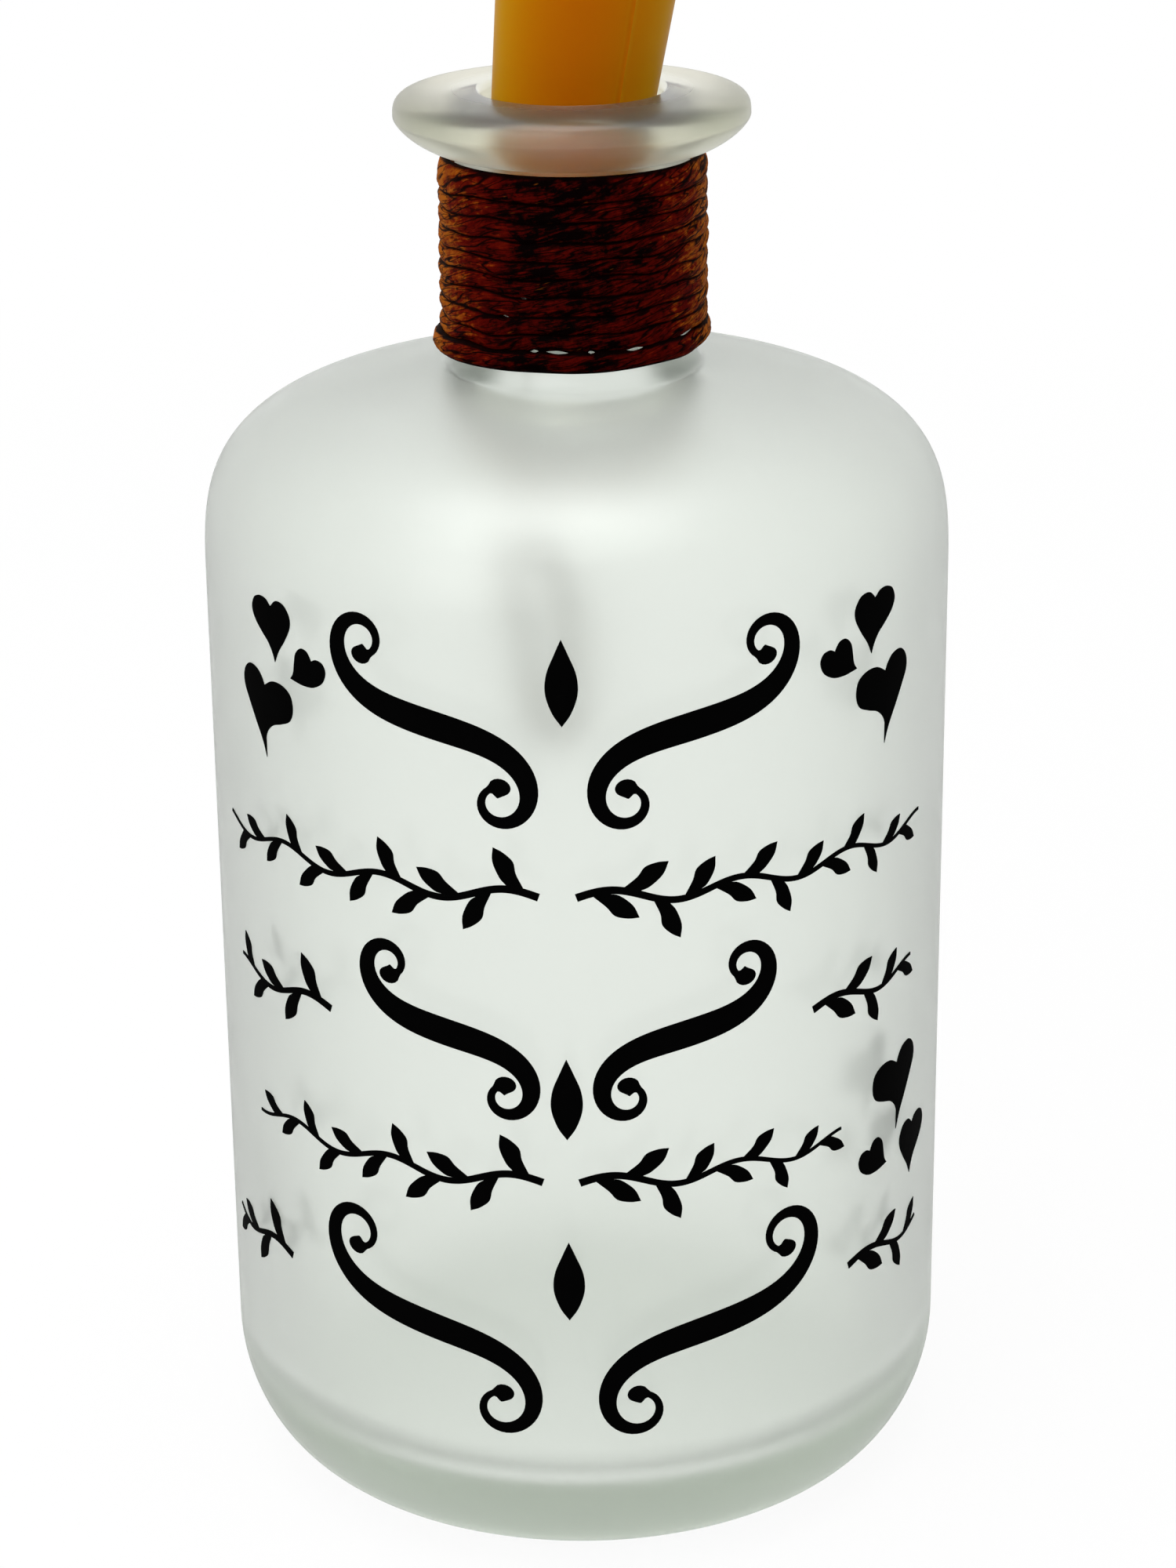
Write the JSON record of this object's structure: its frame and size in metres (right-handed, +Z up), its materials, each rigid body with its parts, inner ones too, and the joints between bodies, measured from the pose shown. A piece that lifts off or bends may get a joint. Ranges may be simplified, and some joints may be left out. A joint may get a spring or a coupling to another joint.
{
  "type": "bottle light",
  "caption": "Frosted glass apothecary bottle with a cord-wound neck, film ornament on its wall, and a battery stopper carrying a folded micro-light string",
  "frame": {"origin": "centre of the flat foot ring that the bottle stands on", "axes": "+Z up along the bottle's axis, -Y towards the decorated front, +X to the right seen from the front"},
  "size_m": [0.084, 0.0845, 0.1905],
  "materials": {
    "frosted_glass": "frosted outside, polished inside",
    "paper_cord": "twisted paper, matte",
    "black_film": "satin",
    "amber_plastic": "satin, slightly translucent",
    "clear_rubber": "satin",
    "white_plastic": "moulded",
    "cell_steel": "nickel plated",
    "contact_metal": "tin plated",
    "circuit_board": "solder mask",
    "lacquered_wire": "lacquered wire",
    "grey_plastic": "moulded",
    "clear_resin": "cast drop"
  },
  "bodies": {
    "bottle": {"glass_bottle": "frosted_glass", "neck_cord": "paper_cord", "heart_upper_left_slim": "black_film", "heart_upper_left_small": "black_film", "heart_upper_left_large": "black_film", "heart_upper_right_slim": "black_film", "heart_upper_right_small": "black_film", "heart_upper_right_large": "black_film", "heart_lower_right_slim": "black_film", "heart_lower_right_small": "black_film", "heart_lower_right_large": "black_film", "scroll_top_left": "black_film", "scroll_top_right": "black_film", "scroll_middle_left": "black_film", "scroll_middle_right": "black_film", "scroll_bottom_left": "black_film", "scroll_bottom_right": "black_film", "drop_top": "black_film", "drop_middle": "black_film", "drop_bottom": "black_film", "vine_upper_left": "black_film", "vine_upper_right": "black_film", "vine_lower_left": "black_film", "vine_lower_right": "black_film", "vine_side_left": "black_film", "vine_side_right": "black_film", "vine_foot_left": "black_film", "vine_foot_right": "black_film"},
    "stopper": {"stopper_shell": "amber_plastic", "wire_gland": "clear_rubber", "cell_holder": "white_plastic", "button_cell_1": "cell_steel", "button_cell_2": "cell_steel", "button_cell_3": "cell_steel", "lower_contact": "contact_metal", "contact_spring": "contact_metal", "contact_strip": "contact_metal", "upper_contact": "contact_metal", "circuit_board": "circuit_board", "lead_wire": "lacquered_wire", "switch_body": "grey_plastic", "light_wire": "lacquered_wire", "light_bead_1": "clear_resin", "light_bead_2": "clear_resin", "light_bead_3": "clear_resin", "light_bead_4": "clear_resin", "light_bead_5": "clear_resin", "light_bead_6": "clear_resin", "light_bead_7": "clear_resin", "light_bead_8": "clear_resin"},
    "cap": {"stopper_cap": "amber_plastic"},
    "switch": {"switch_slider": "grey_plastic"}
  },
  "joints": [
    {"name": "stopper_lift", "type": "slide", "parent": "bottle", "child": "stopper", "axis": [0, 0, 1], "range_m": [0, 0.082]},
    {"name": "cap_pull", "type": "slide", "parent": "stopper", "child": "cap", "axis": [0.1271, 0, 0.9919], "range_m": [0, 0.014]},
    {"name": "switch_slide", "type": "slide", "parent": "stopper", "child": "switch", "axis": [0, 1, 0], "range_m": [0, 0.002]}
  ]
}
